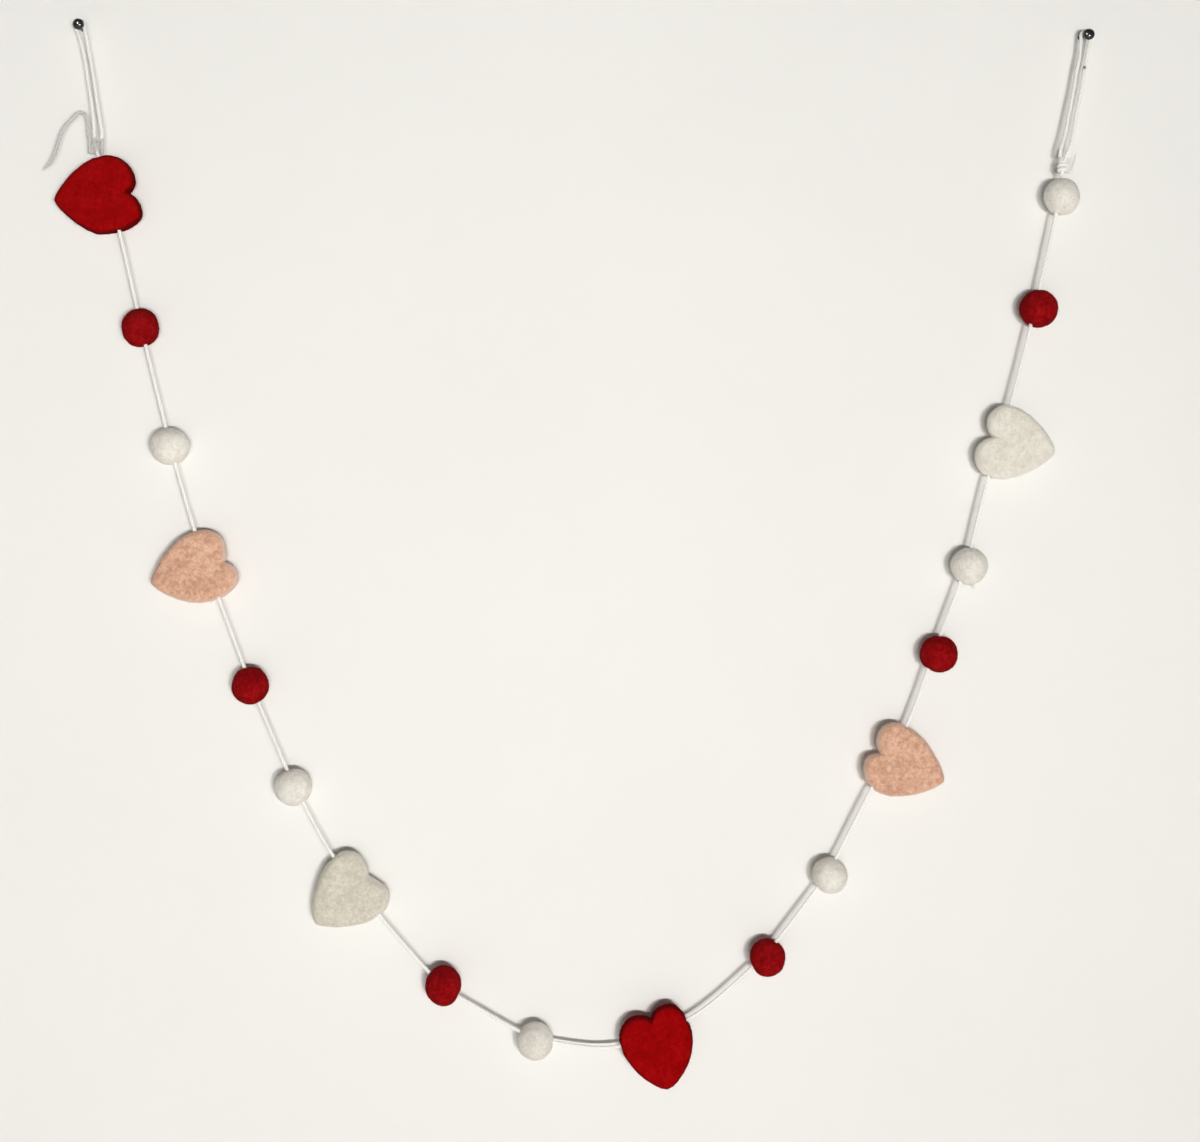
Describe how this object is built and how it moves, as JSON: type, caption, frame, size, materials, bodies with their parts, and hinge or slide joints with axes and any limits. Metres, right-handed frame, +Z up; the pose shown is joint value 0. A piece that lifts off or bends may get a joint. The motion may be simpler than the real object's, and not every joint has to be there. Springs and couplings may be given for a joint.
{
  "type": "felt heart garland on two wall nails",
  "caption": "Garland of thick felt hearts and round felt balls threaded on white string, hanging in a deep U from a loop on a nail at each end.",
  "frame": {"origin": "middle of the left nail's flat end, in the plane of the wall", "axes": "+Z up, +Y into the wall, +X along the wall from the left nail to the right one, so the front faces -Y"},
  "size_m": [0.553, 0.0216, 0.5636],
  "materials": {
    "red_felt": "matte wool felt, deep crimson",
    "pink_felt": "matte wool felt, mottled peach pink",
    "white_felt": "matte wool felt, warm white",
    "white_string": "matte twisted cotton",
    "nail_metal": "glossy black"
  },
  "bodies": {
    "root": {"heart_1": "red_felt", "heart_2": "pink_felt", "heart_3": "white_felt", "heart_4": "red_felt", "heart_5": "pink_felt", "heart_6": "white_felt", "ball_01": "red_felt", "ball_02": "white_felt", "ball_03": "red_felt", "ball_04": "white_felt", "ball_05": "red_felt", "ball_06": "white_felt", "ball_07": "red_felt", "ball_08": "white_felt", "ball_09": "red_felt", "ball_10": "white_felt", "ball_11": "red_felt", "ball_12": "white_felt", "string_main": "white_string", "loop_left": "white_string", "loop_right": "white_string", "tail_left": "white_string", "knot_left": "white_string", "knot_right": "white_string", "nail_left": "nail_metal", "nail_right": "nail_metal"}
  },
  "joints": []
}
